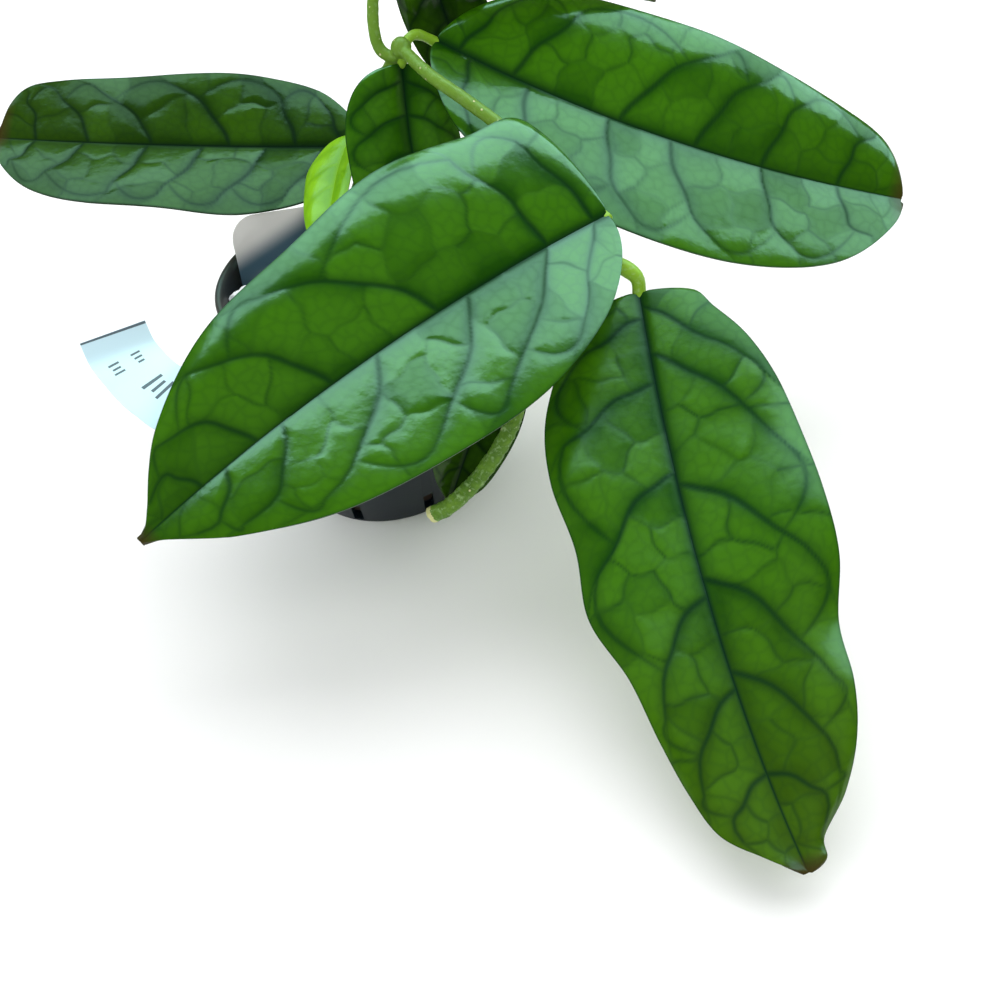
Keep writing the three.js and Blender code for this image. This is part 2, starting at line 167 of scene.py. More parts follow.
def addTube(name, line, radii, sides=20):  # a closed round tube along a line
    curve = bpy.data.curves.new(name, "CURVE")
    curve.dimensions = "3D"
    curve.bevel_depth = 1
    curve.bevel_resolution = sides // 4
    curve.use_fill_caps = True
    spline = curve.splines.new("POLY")
    spline.points.add(len(line) - 1)
    for point, place, radius in zip(spline.points, line, radii):
        point.co = (*(place * mm), 1)
        point.radius = radius * mm
    piece = bpy.data.objects.new(name, curve)
    bpy.context.scene.collection.objects.link(piece)
    onlySelect(piece)
    bpy.ops.object.convert(target="MESH")
    return bpy.context.object


def addGrid(name, columns, rows):  # a flat grid, and its points' places across and along from -1 to 1
    bpy.ops.object.select_all(action="DESELECT")
    bpy.ops.mesh.primitive_grid_add(x_subdivisions=columns, y_subdivisions=rows, size=2)
    piece = bpy.context.object
    piece.name = name
    across, along, _ = (readPoints(piece) * mm).T
    return piece, across, along


def turnPiece(name, outline, sides):  # rings drawn out one after another, as on a lathe
    radius, height = outline[0]
    bpy.ops.object.select_all(action="DESELECT")
    bpy.ops.mesh.primitive_circle_add(
        vertices=sides, radius=radius * mm, fill_type="NGON", location=(0, 0, height * mm))
    piece = bpy.context.object
    piece.name = name
    bpy.ops.object.transform_apply()
    bpy.ops.object.mode_set(mode="EDIT")
    bpy.ops.mesh.select_mode(type="EDGE")
    bpy.ops.mesh.select_all(action="SELECT")
    bpy.ops.mesh.region_to_loop()
    for (oldRadius, oldHeight), (radius, height) in zip(outline, outline[1:]):
        lift = {"value": (0, 0, (height - oldHeight) * mm)}
        bpy.ops.mesh.extrude_edges_move(TRANSFORM_OT_translate=lift)
        grow = radius / oldRadius
        bpy.ops.transform.resize(value=(grow, grow, 1), center_override=(0, 0, 0))
    bpy.ops.mesh.edge_face_add()
    bpy.ops.mesh.select_all(action="SELECT")
    bpy.ops.mesh.normals_make_consistent(inside=False)
    bpy.ops.object.mode_set(mode="OBJECT")
    return piece


def makeCamera():
    view = {"place": (40, -343, 310), "pitch": 45, "roll": -9, "lens": 41.4, "sensor": 36}
    turn = Matrix.Rotation(math.radians(view["pitch"]), 3, "X")
    turn = turn @ Matrix.Rotation(math.radians(view["roll"]), 3, "Z")
    place = [value * mm for value in view["place"]]
    bpy.ops.object.camera_add(location=place, rotation=turn.to_euler())
    camera = bpy.context.object
    camera.data.lens = view["lens"]
    camera.data.sensor_width = view["sensor"]
    camera.data.clip_start = 10 * mm
    bpy.context.scene.camera = camera


studio = {"middle": (30, -30, 90), "glow": 0.15, "glowTint": "#f4f8fa", "floor": 12000, "paper": "#f6f6f6"}


def makeLights():
    lamps = {
        # a wide window of blue sky over and behind the plant, which the waxed leaves mirror as their sheen
        "skyWindow": {"way": (0.3, 0.44, 0.846), "along": (1, 0.02, 0), "far": 3000, "size": (8400, 2880),
                      "watts": 346, "tint": "#bbfff2", "mirrored": True},
        # soft white light from above, the front and the left, which leaves no mirror image
        "topFill": {"way": (0.2, 0.45, 0.87), "far": 1500, "size": (2400, 2000), "watts": 40},
        "frontFill": {"way": (0.1, -0.75, 0.65), "far": 1600, "size": (2000, 1600), "watts": 15},
        "sideFill": {"way": (-0.85, -0.1, 0.5), "along": (0, 1, 0), "far": 1600, "size": (1400, 1400),
                     "watts": 10},
    }
    plain = {"along": (1, 0, 0), "tint": "#ffffff", "mirrored": False}
    for name, lamp in lamps.items():
        lamp = {**plain, **lamp}
        way = Vector(lamp["way"]).normalized()
        place = (Vector(studio["middle"]) + way * lamp["far"]) * mm
        upward = way.cross(Vector(lamp["along"])).normalized()
        turn = Matrix((upward.cross(way), upward, way)).transposed().to_euler()
        bpy.ops.object.light_add(type="AREA", location=place, rotation=turn)
        light = bpy.context.object
        light.name = name
        light.data.shape = "RECTANGLE"
        light.data.size = lamp["size"][0] * mm
        light.data.size_y = lamp["size"][1] * mm
        light.data.energy = lamp["watts"]
        light.data.color = fromHex(lamp["tint"])[:3]
        light.visible_glossy = lamp["mirrored"]
        light.visible_diffuse = not lamp["mirrored"]
        light.visible_camera = False
    world = bpy.data.worlds.new("studio")
    world.use_nodes = True
    background = world.node_tree.nodes["Background"]
    background.inputs["Color"].default_value = fromHex(studio["glowTint"])
    background.inputs["Strength"].default_value = studio["glow"]
    world.cycles_visibility.glossy = False
    bpy.context.scene.world = world
    bpy.context.scene.view_settings.view_transform = "Standard"


def makeFloor():
    bpy.ops.mesh.primitive_plane_add(size=studio["floor"] * mm, location=(0, 0, 0))
    floor = bpy.context.object
    floor.name = "paperFloor"
    # matt studio paper: white with no shine
    paper, _, _ = newMaterial("studio paper", {"Base Color": fromHex(studio["paper"]), "Roughness": 0.9})
    floor.data.materials.append(paper)


makeCamera()
makeLights()
makeFloor()
print("camera, light and floor are set")


nodes = {  # the swollen places on the stems where leaves grow
    "upper": {"at": (31, 39, 147), "radius": 3.6},
    "lower": {"at": (72, -22, 102), "radius": 3.9},
    "top": {"at": (33, 55, 184), "radius": 3.2},
    "back": {"at": (18, 56, 104), "radius": 3.1},
    "stub": {"at": (55, -51, 79), "radius": 3.3},
}

leafForm = {
    "thickness": 1.2,
    "edge": 0.7,
    "ribDepth": 2,
    "ribWidth": 1.5,
    "rise": 0.26,
    "droop": (0.2, 0.2),
    "bend": 4,  # how late a half bends down, over 3 for a straighter half with a rounder margin
    "crease": 0.35,
    "crowding": 1.25,  # over 1 draws the grid's columns in to the midrib
    "lean": 0.024,  # how far single cells tilt
    "span": (0.02, 0.985),
    "leastWidth": 1.2,
    "stalkUnder": (0.08, 0.2),
    "stalkSink": 0.85,  # how deep the stalk runs under the blade, in its own radii
    "spacing": 0.62,  # between the grid's points on a leaf of fullLength or more
    "fullLength": 150,
    "raisedNet": 0.35,  # how far the veins stand out under the leaf
}

# Greens of the blade beside a vein, in the middle of a cell and in a vein, and what an older tip turns to,
# then how thick the leaf's wax is and how dull it is.
toneParts = ("dark", "bright", "vein", "tip", "wax", "haze")
toneRows = {
    "deep": ("#1a4801", "#376e02", "#0a2c12", "#335f06", 1, 0.18),
    "vivid": ("#1a4801", "#386d02", "#072818", "#435c06", 0.45, 0.25),
    "even": ("#1d4c01", "#386f02", "#0a2c12", "#2f5806", 0.66, 0.16),
    "shade": ("#153202", "#2b5002", "#081e10", "#2d4b07", 0.3, 0.15),
    "young": ("#5c9410", "#7cb51a", "#6fa516", "#80bd26", 0.35, 0.2),
}
tones = {name: dict(zip(toneParts, row)) for name, row in toneRows.items()}


def evenVeins(first, step, count):  # a half's side veins, as far apart as each other
    return tuple((first + step * k, 0.2) for k in range(count))


# left and right are half-widths at even stations from base to tip, and droop is how far each half bends
# down again to its margin. veins gives each half's side veins as the share of the midrib where one starts
# and how far it sweeps towards the tip. cell is how wide the cells of cross veins are.
leaves = {
    "leaf_front": {
        "node": "lower", "base": (88, -25, 111), "mid": (9, -67, 102), "tip": (-65, -104, 77),
        "face": (-0.1, -0.66, 0.75),
        "left": (16, 31, 40, 40, 34, 20, 5), "right": (38, 43, 47, 41, 36, 22, 4), "droop": (0.04, 0.2),
        "petiole": ((79, -20, 104), (85, -23, 109)), "stalk": 2.2, "wave": 0.8, "waves": 2,
        "veins": (((0.03, 0.2), (0.13, 0.32), (0.3, 0.29), (0.49, 0.31), (0.69, 0.2), (0.81, 0.14)),
                  ((0.03, 0.1), (0.13, 0.1), (0.36, 0.31), (0.58, 0.23), (0.74, 0.18), (0.86, 0.1))),
        "cell": 14, "relief": 0.6, "tone": "deep",
    },
    "leaf_right_lower": {
        "node": "lower", "base": (94, -43, 92), "mid": (95, -131, 48), "tip": (106, -204, 13),
        "face": (-0.15, -0.35, 0.9),
        "left": (16, 22, 30, 36, 39, 40, 39, 33, 31, 26, 18, 8, 6),
        "right": (12, 22, 30, 36, 37, 34, 35, 28, 25, 22, 18, 9, 3),
        "petiole": ((79, -30, 101), (88, -36, 100), (94, -40, 96)), "stalk": 2.5, "wave": 2, "waves": 3,
        "veins": (((0.02, 0.18), (0.1, 0.26), (0.32, 0.26), (0.48, 0.31), (0.64, 0.3), (0.82, 0.14)),
                  ((0.04, 0.1), (0.15, 0.12), (0.3, 0.2), (0.51, 0.24), (0.67, 0.2), (0.82, 0.12))),
        "cell": 13, "relief": 0.36, "tone": "vivid",
    },
    "leaf_right_upper": {
        "node": "upper", "base": (43, 45, 145), "mid": (114, 10, 115), "tip": (194, -3, 85),
        "face": (0.25, -0.65, 0.72),
        "left": (18, 32, 39, 40, 35, 28, 18), "right": (13, 29, 37, 40, 38, 30, 14), "droop": (0.2, 0.03),
        "petiole": ((36, 43, 149),), "stalk": 1.7, "wave": 1, "waves": 2,
        "veins": (((0.05, 0.08), (0.17, 0.13), (0.4, 0.22), (0.56, 0.16), (0.7, 0.1), (0.86, 0.08)),
                  ((0.08, 0.08), (0.21, 0.09), (0.38, 0.12), (0.51, 0.16), (0.7, 0.1), (0.86, 0.08))),
        "cell": 15, "relief": 0.32, "tone": "even",
    },
    "leaf_left": {
        "node": "back", "base": (12, 54, 106), "mid": (-54, 61, 114), "tip": (-124, 76, 121),
        "face": (0.03, -0.35, 0.93),
        "left": (14, 30, 36, 34, 33, 26, 13), "right": (11, 23, 28, 28, 27, 24, 18), "droop": (0.05, 0.03),
        "stalk": 1.9, "wave": 1, "waves": 2,
        "veins": (((0.12, 0.12), (0.28, 0.14), (0.45, 0.12), (0.6, 0.08), (0.77, 0.12), (0.9, 0.06)),
                  ((0.07, 0.08), (0.2, 0.1), (0.38, 0.22), (0.59, 0.24), (0.76, 0.16), (0.9, 0.06))),
        "cell": 13, "relief": 0.38, "tone": "shade",
    },
    "leaf_inner": {
        "node": "upper", "base": (30.4, 37.2, 142), "mid": (29, 23.3, 117.4), "tip": (31, -4, 90),
        "face": (0.1, -0.45, 0.88),
        "left": (8, 14, 16, 17, 15, 11, 5), "right": (10, 17, 21, 22, 21, 15, 6),
        "stalk": 1.7, "wave": 0.8, "waves": 1.5, "veins": (evenVeins(0.1, 0.2, 4),) * 2,
        "cell": 9, "relief": 0.6, "crease": 1.3, "tone": "deep",
    },
    "leaf_young": {
        "node": "back", "base": (8, 43, 117), "mid": (1, 20, 112), "tip": (-4, -6, 102),
        "face": (-0.45, -0.3, 0.85),
        "left": (4, 6, 7, 7, 6, 5, 3), "right": (7, 11, 14, 13, 11, 8, 4),
        "petiole": ((19, 50, 109), (14, 46, 115)), "stalk": 1.4, "wave": 0.5, "waves": 1,
        "veins": (evenVeins(0.15, 0.25, 3), evenVeins(0.12, 0.2, 4)),
        "cell": 8, "relief": 0.12, "tone": "young", "slot": "leaf_young",
    },
    "leaf_low_front": {
        "node": "stub", "base": (47, -44, 74), "mid": (35, -53, 54), "tip": (23, -63, 33),
        "face": (0.2, -0.75, 0.6),
        "left": (7, 12, 14, 14, 12, 9, 4), "right": (8, 13, 15, 15, 12, 8, 3),
        "stalk": 1.5, "wave": 0.5, "waves": 1.5, "veins": (evenVeins(0.15, 0.2, 4),) * 2,
        "cell": 8, "relief": 0.5, "tone": "shade",
    },
    "leaf_hanging_back": {
        "node": "top", "base": (42, 57, 174), "mid": (48, 58, 146), "tip": (54, 54, 117),
        "face": (-0.15, -0.9, 0.35),
        "left": (7, 12, 14, 15, 12, 8, 4), "right": (7, 12, 14, 14, 12, 8, 4),
        "stalk": 1.6, "wave": 0.6, "waves": 1.5, "veins": (evenVeins(0.1, 0.2, 4),) * 2,
        "cell": 9, "relief": 0.4, "tone": "shade",
    },
    "leaf_top_right": {
        "node": "top", "base": (43, 58, 187), "mid": (84, 62, 171), "tip": (121, 57, 142),
        "face": (0.3, -0.3, 0.9),
        "left": (9, 16, 19, 20, 18, 13, 6), "right": (9, 16, 20, 20, 18, 13, 6),
        "stalk": 1.7, "wave": 0.8, "waves": 2,
        "veins": (((0.08, 0.18), (0.25, 0.18), (0.42, 0.18), (0.6, 0.18), (0.78, 0.18)),) * 2,
        "cell": 10, "relief": 0.45, "tone": "even",
    },
    "leaf_top_young": {
        "node": "top", "base": (30, 50, 191), "mid": (26, 36, 196), "tip": (20, 20, 190),
        "face": (-0.2, -0.2, 1),
        "left": (3, 6, 7, 8, 7, 5, 2), "right": (3, 6, 7, 8, 7, 5, 2),
        "stalk": 1.3, "wave": 0.3, "waves": 1, "veins": (evenVeins(0.2, 0.25, 3),) * 2,
        "cell": 6, "relief": 0.2, "tone": "young", "slot": "leaf_young",
    },
}


def widthAt(stations, share):  # a smooth half-width through even stations, nothing at both ends
    values = np.array([0, *stations, 0], float)
    padded = np.array([-values[1], *values, -values[-2]])
    x = np.clip(share, 0, 1) * (len(values) - 1)
    k = np.minimum(x.astype(int), len(values) - 2)
    f = x - k
    a, b, c, d = (padded[k + step] for step in range(4))
    slope, bow, turn = c - a, 2 * a - 5 * b + 4 * c - d, 3 * b - a - 3 * c + d
    return 0.5 * (2 * b + slope * f + bow * f ** 2 + turn * f ** 3)


def leafFrame(leaf, u):  # places and directions along the midrib, u from 0 at the base to 1
    base, mid, tip, face = (np.array(leaf[key], float) for key in ("base", "mid", "tip", "face"))
    bend = 2 * mid - (base + tip) / 2
    t = ((1 - np.cos(np.pi * np.asarray(u, float))) / 2)[:, None]
    centre = (1 - t) ** 2 * base + 2 * t * (1 - t) * bend + t ** 2 * tip
    along = unit(2 * (1 - t) * (bend - base) + 2 * t * (tip - bend))
    right = unit(np.cross(along, face))
    return centre, right, np.cross(right, along), t[:, 0]


def halfWidth(leaf, s, u):
    width = np.where(s < 0, widthAt(leaf["left"], u), widthAt(leaf["right"], u))
    return np.maximum(width, leafForm["leastWidth"])


def onBlade(leaf, s, t):  # a share across and a share along, as millimetres on the flat leaf
    u = np.arccos(1 - 2 * np.clip(t, 0, 1)) / np.pi
    steps = np.linspace(0, 1, 200)
    centre, _, _, _ = leafFrame(leaf, steps)
    return np.stack([s * halfWidth(leaf, s, u), np.interp(u, steps, lengthsTo(centre))], axis=-1)


def bladeLength(leaf):
    return onBlade(leaf, np.zeros(1), np.ones(1))[0, 1]


veinForm = {
    "straight": 0.35, "curl": 2.2,  # the share of its sweep that is even, and how late the rest comes
    "zigzag": 0.011, "kinks": 13, "shift": 41,
    "endReach": 0.84, "loopReach": 0.9, "joinReach": 0.64, "twigReach": 0.98, "steps": 12,
    "columnJitter": 0.25, "rowJitter": 0.28, "sideJitter": 0.06,
}


def veinAt(vein, reach):  # how far along the leaf a side vein is, at a share across
    start, sweep = vein
    straight = veinForm["straight"]
    zigzag = veinForm["zigzag"] * np.sin(veinForm["kinks"] * reach + veinForm["shift"] * start) * reach
    return start + sweep * (straight * reach + (1 - straight) * reach ** veinForm["curl"]) + zigzag


def bentLine(leaf, side, points):  # a smooth bend through three places given as share along and across
    first, middle, last = (np.array(point) for point in points)
    p = np.linspace(0, 1, 8)[:, None]
    pull = 2 * middle - (first + last) / 2
    line = (1 - p) ** 2 * first + 2 * p * (1 - p) * pull + p ** 2 * last
    return onBlade(leaf, side * line[:, 1], line[:, 0])


def leafVeins(leaf):  # side veins loop into the next one, and a twig of each goes on to the margin
    endReach, joinReach = veinForm["endReach"], veinForm["joinReach"]
    runs = {"side": (0, endReach), "twig": (endReach, veinForm["twigReach"])}
    steps = np.linspace(0, 1, veinForm["steps"])
    lines = []
    for side, veins in zip((-1, 1), leaf["veins"]):
        for vein in veins:
            for kind, (low, high) in runs.items():
                reach = low + (high - low) * steps
                lines.append((kind, onBlade(leaf, side * reach, veinAt(vein, reach))))
        for vein, after in zip(veins, veins[1:]):
            end = (veinAt(vein, endReach), endReach)
            join = (veinAt(after, joinReach), joinReach)
            if join[0] > end[0]:
                top = ((end[0] + join[0]) / 2, veinForm["loopReach"])
                lines.append(("loop", bentLine(leaf, side, (end, top, join))))
    return lines


def stripSeeds(leaf, side, low, high, random):  # the middles of the cells between two side veins
    def nudge(key):
        return random.uniform(-veinForm[key], veinForm[key])

    length = bladeLength(leaf)
    stations = leaf["left"] if side < 0 else leaf["right"]
    across = max(round(max(stations) / leaf["cell"]), 2)
    seeds = []
    for column in range(across):
        reach = (column + 0.5 + nudge("columnJitter")) / across
        start = veinAt(low, reach)
        stop = veinAt(high, reach)
        count = max(round((stop - start) * length / leaf["cell"]), 1)
        for row in range(count):
            share = (row + 0.5 + nudge("rowJitter")) / count
            place = side * (reach + nudge("sideJitter"))
            seeds.append((place, start + (stop - start) * share))
    seeds = np.array(seeds)
    return onBlade(leaf, seeds[:, 0], seeds[:, 1])


def swayed(points, amount, waves):  # keeps cell walls from being straight; a wave is height, pace and phase
    return points + amount * sum(
        height * np.sin(points[:, ::-1] * pace + phase) for height, pace, phase in waves)


def nearestWall(points, seeds, leastSpread):  # the two nearest cells' numbers, and the gap to their wall
    far = np.linalg.norm(points[:, None, :] - seeds[None], axis=2)
    order = np.argpartition(far, 1, axis=1)[:, :2]
    pair = np.take_along_axis(far, order, axis=1)
    spread = np.linalg.norm(seeds[order[:, 0]] - seeds[order[:, 1]], axis=1)
    return order, (pair[:, 1] ** 2 - pair[:, 0] ** 2) / (2 * np.maximum(spread, leastSpread))


def cellNet(leaf, s, t, flat, random):
    # the gap to the cross veins and their strength, and how each cell tilts and how light it is
    bent = swayed(flat, 0.075 * leaf["cell"], ((1, 0.21, (1, 2)), (0.5, 0.63, (3, 0))))
    gap = np.full(len(s), 99.0)
    strength, lean, patch = np.zeros((3, len(s)))
    for side, veins in zip((-1, 1), leaf["veins"]):
        borders = [(-0.1, 0), *veins, (1.1, 0)]
        inStrip = sum((veinAt(vein, np.abs(s)) < t).astype(int) for vein in veins)
        for k, (low, high) in enumerate(zip(borders, borders[1:])):
            seeds = stripSeeds(leaf, side, low, high, random)
            table = random.uniform(0.45, 1, (len(seeds), len(seeds)))
            tilts = random.normal(0, 1, (len(seeds), 2))
            here = np.flatnonzero((s * side >= 0) & (inStrip == k))
            if len(here) == 0 or len(seeds) < 2:
                continue
            order, gap[here] = nearestWall(bent[here], seeds, 1)
            strength[here] = table[order.min(1), order.max(1)]
            lean[here] = (tilts[order[:, 0]] * (bent[here] - seeds[order[:, 0]])).sum(1)
            patch[here] = np.clip(tilts[order[:, 0], 0], -1.5, 1.5)
    return gap, strength, lean * (1 - np.exp(-gap / 2)), patch * (1 - np.exp(-gap / 0.8))


def gapTo(points, line):  # each point's distance to a line, and where along it that is
    best = np.full(len(points), 1e9)
    share = np.zeros(len(points))
    for k, (a, b) in enumerate(zip(line, line[1:])):
        step = b - a
        f = np.clip(((points - a) @ step) / max(step @ step, 1e-9), 0, 1)
        gap = np.linalg.norm(points - a - f[:, None] * step, axis=1)
        closer = gap < best
        best = np.where(closer, gap, best)
        share = np.where(closer, (k + f) / (len(line) - 1), share)
    return best, share


def fineGap(points, cell, random):  # the distance to the finest net, whose cells are about cell wide
    low, high = points.min(0) - cell, points.max(0) + cell
    rowStep = 0.85 * cell
    jitter = 0.36
    columns = int((high[0] - low[0]) / cell) + 1
    rows = int((high[1] - low[1]) / rowStep) + 1
    grid = [(i + 0.5 * (j % 2), j) for i in range(columns) for j in range(rows)]
    seeds = low + np.array(grid) * (cell, rowStep)
    seeds = seeds + random.uniform(-jitter, jitter, (columns * rows, 2)) * cell
    bent = swayed(points, 0.1 * cell, ((1, 0.33, (1, 2)), (0.4, 0.9, (0, 0))))
    return nearestWall(bent, seeds, 0.1)[1]


# width is the half-width of a vein's dark line in mm, deep how dark it is, and soft how wide its valley is
veinLooks = {
    "rib": {"width": 1.7, "taper": 1.2, "drop": 0.6, "flat": 0.5, "soft": 4},
    "side": {"width": 1.05, "end": 0.6, "deep": 0.8, "soft": 3, "drop": 0.6},
    "loop": {"width": 0.6, "end": 0.6, "deep": 0.55, "soft": 2.6, "drop": 0.42},
    "twig": {"width": 0.6, "end": 0.5, "deep": 0.4, "soft": 2.2, "drop": 0.3},
    "cross": {"width": 0.6, "deep": 0.5, "soft": 2.4, "drop": 0.3},
    "fine": {"width": 0.48, "deep": 0.17, "cell": 4.6},
    "least": 0.5,  # no line is drawn thinner, or it breaks up into dots
    "deepest": 0.65,  # the valley that counts as no pillow at all
    "edge": {"start": 0.975, "deep": 0.7},  # the dark line along the margin
}


def veinNet(leaf, s, t, seed):
    # how dark the veins are, how high the blade stands between them, how its cells lean and how light each is
    random = np.random.default_rng(seed)
    flat = onBlade(leaf, s, t)
    size = 0.6 + 0.4 * flat[:, 1].max() / 180  # a small leaf has finer veins
    ribGap = np.abs(flat[:, 0])
    rib = veinLooks["rib"]
    dark = np.exp(-(ribGap / (rib["width"] - rib["taper"] * t)) ** 2)
    valley = rib["drop"] * np.exp(-np.maximum(ribGap - rib["flat"], 0) / rib["soft"])
    for kind, line in leafVeins(leaf):
        look = veinLooks[kind]
        near, share = gapTo(flat, line)
        width = np.maximum(size * (look["width"] + (look["end"] - look["width"]) * share), veinLooks["least"])
        fade = 1 - 0.3 * share ** 3
        dark = np.maximum(dark, look["deep"] * fade * np.exp(-(near / width) ** 2))
        valley = np.maximum(valley, look["drop"] * fade * np.exp(-near / (look["soft"] * size)))
    look = veinLooks["cross"]
    near, strength, lean, patch = cellNet(leaf, s, t, flat, random)
    width = max(look["width"] * size, veinLooks["least"])
    dark = np.maximum(dark, strength * look["deep"] * np.exp(-(near / width) ** 2))
    valley = np.maximum(valley, strength * look["drop"] * np.exp(-near / (look["soft"] * size)))
    look = veinLooks["fine"]
    near = fineGap(flat, look["cell"] * size, random)
    dark = np.maximum(dark, look["deep"] * np.exp(-(near / look["width"]) ** 2))
    start = veinLooks["edge"]["start"]
    edge = np.clip((np.abs(s) - start) / (1 - start), 0, 1)
    lean *= (1 - np.minimum(valley / rib["drop"], 1)) * (1 - np.abs(s) ** 8) * leafForm["lean"]
    dark = np.maximum(dark, veinLooks["edge"]["deep"] * edge)
    return dark, 1 - valley / veinLooks["deepest"], lean, patch, flat


def makeBlade(name, leaf, seed):
    length = bladeLength(leaf)
    across = max(leaf["left"]) + max(leaf["right"])
    spacing = leafForm["spacing"] * (0.55 + 0.45 * min(length / leafForm["fullLength"], 1))
    columns = int(across / spacing) // 2 * 2
    rows = int(1.08 * length / spacing)
    blade, x, y = addGrid(name, columns, rows)
    s = np.sign(x) * np.abs(x) ** leafForm["crowding"]
    low, high = leafForm["span"]
    u = low + (high - low) * (y + 1) / 2
    centre, right, up, t = leafFrame(leaf, u)
    width = halfWidth(leaf, s, u)
    reach = np.abs(s)
    droop = np.where(s < 0, *leaf.get("droop", leafForm["droop"]))
    fold = width * (leafForm["rise"] * reach - droop * reach ** leafForm["bend"])
    wave = leaf["wave"] * reach ** 2 * np.sin(2 * np.pi * (leaf["waves"] * t + np.where(s > 0, 0.35, 0)))
    dark, pillow, lean, patch, flat = veinNet(leaf, s, t, seed)
    puff = leaf["relief"] * (pillow - 0.6) * (1 - reach ** 10)
    easeIn = np.sin(np.pi * np.minimum(t * 1.4 + 0.05, 0.5))  # the blade is calmer near its base
    crease = leaf.get("crease", leafForm["crease"])
    groove = crease * np.exp(-(flat[:, 0] / (1.5 + crease - t)) ** 2) * (1 - t)
    height = fold + (wave + puff + lean) * easeIn - groove
    points = centre + right * (width * s)[:, None] + up * height[:, None]
    writePoints(blade, points)
    for key, values in {"vein": dark, "pillow": pillow, "patch": patch, "along": t}.items():
        attribute = blade.data.attributes.new(key, "FLOAT", "POINT")
        attribute.data.foreach_set("value", values.astype(np.float32))
    thick = blade.vertex_groups.new(name="thick")
    thin = 1 - leafForm["edge"] / leafForm["thickness"]
    for k, value in enumerate(1 - thin * reach ** 2):
        thick.add([k], float(value), "REPLACE")
    applyModifier(blade, "SOLIDIFY", {
        "thickness": leafForm["thickness"] * mm, "offset": 0, "vertex_group": "thick",
        "use_even_offset": False})
    whole = readPoints(blade)
    count = len(points)
    firstIsUpper = ((whole[:count] - whole[count:2 * count]) * up).sum() > 0
    under = slice(count, 2 * count) if firstIsUpper else slice(0, count)
    rib = leafForm["ribDepth"] * (1 - 0.85 * t) * np.exp(-(flat[:, 0] / leafForm["ribWidth"]) ** 2)
    net = leafForm["raisedNet"] * dark * (1 - reach ** 4)
    whole[under] -= up * np.maximum(rib, net)[:, None]
    writePoints(blade, whole)
    onlySelect(blade)
    bpy.ops.object.mode_set(mode="EDIT")
    bpy.ops.mesh.select_all(action="SELECT")
    bpy.ops.mesh.normals_make_consistent(inside=False)
    bpy.ops.object.mode_set(mode="OBJECT")
    isUnder = np.zeros(len(blade.data.vertices), bool)
    isUnder[under] = True
    corners = np.zeros(len(blade.data.polygons) * 4, np.int32)
    blade.data.polygons.foreach_get("vertices", corners)
    looks = isUnder[corners.reshape(-1, 4)].all(1).astype(np.int32)
    blade.data.polygons.foreach_set("material_index", looks)
    return blade


def makeStalk(leaf):
    centre, _, up, _ = leafFrame(leaf, (0, *leafForm["stalkUnder"]))
    sink = leafForm["stalkSink"] * leaf["stalk"] + leaf.get("crease", leafForm["crease"])
    under = centre - up * np.array([0.6 * sink, sink, sink])[:, None]
    line = evenLine([nodes[leaf["node"]]["at"], *leaf.get("petiole", ()), *under], 40)
    share = np.linspace(0, 1, len(line))
    radii = leaf["stalk"] * (1 - np.maximum(0, share - 0.5))
    radii *= 1 + 0.05 * np.sin(share * 31) + 0.12 * np.exp(-(share / 0.06) ** 2)
    return addTube("stalk", line, radii)


def waxyLeaf(name, tone):
    # a living hoya leaf: thick and waxed, so its gloss is soft and every pillow between the veins shows
    wax = tone["wax"]
    material, shader, add = newMaterial(name, {
        "Roughness": 0.5, "IOR": 1.45, "Specular IOR Level": 0.02,
        "Coat Roughness": tone["haze"], "Coat IOR": 1.6})
    place = add("TexCoord")
    vein, pillow, patch, along = (
        add("Attribute", {"attribute_name": key}) for key in ("vein", "pillow", "patch", "along"))
    patches = add("TexNoise", {"Scale": 1 / (26 * mm), "Detail": 3}, {"Vector": place})
    grain = add("TexNoise", {"Scale": 1 / (3.2 * mm), "Detail": 3}, {"Vector": place})
    lift = add("MapRange", {"From Min": 0.3, "From Max": 0.95}, {"Value": pillow})
    cloud = add("MapRange", {
        "From Min": 0.3, "From Max": 0.7, "To Min": -0.25, "To Max": 0.25}, {"Value": patches})
    uneven = add("Math", {"operation": "MULTIPLY_ADD", 1: 0.28}, {0: patch, 2: cloud})
    share = add("Math", {"operation": "ADD", "use_clamp": True}, {0: lift, 1: uneven})
    blade = add("Mix", {"data_type": "RGBA", 6: tone["dark"], 7: tone["bright"]}, {0: share})
    ageing = add("MapRange", {"From Min": 0.45, "To Max": 0.55}, {"Value": along})
    aged = add("Mix", {"data_type": "RGBA", 7: tone["tip"]}, {0: ageing, 6: blade})
    veined = add("Mix", {"data_type": "RGBA", 7: tone["vein"]}, {0: vein, 6: aged})
    dry = add("MapRange", {"From Min": 0.965, "From Max": 0.998, "To Max": 0.85}, {"Value": along})
    tipped = add("Mix", {"data_type": "RGBA", 7: "#3d3015"}, {0: dry, 6: veined})
    # the wax is thin in the sunken veins, so they stay dark where the blade mirrors the sky
    thin = add("MapRange", {"From Max": 0.8, "To Min": wax, "To Max": 0.42 * wax}, {"Value": vein})
    coat = add("Math", {"operation": "MULTIPLY_ADD", "use_clamp": True, 1: 0.2 * wax}, {0: patch, 2: thin})
    bump = add("Bump", {"Strength": 0.5, "Distance": 0.16 * mm}, {"Height": grain})
    plug(shader, {"Base Color": tipped, "Coat Weight": coat, "Normal": bump, "Coat Normal": bump})
    return material


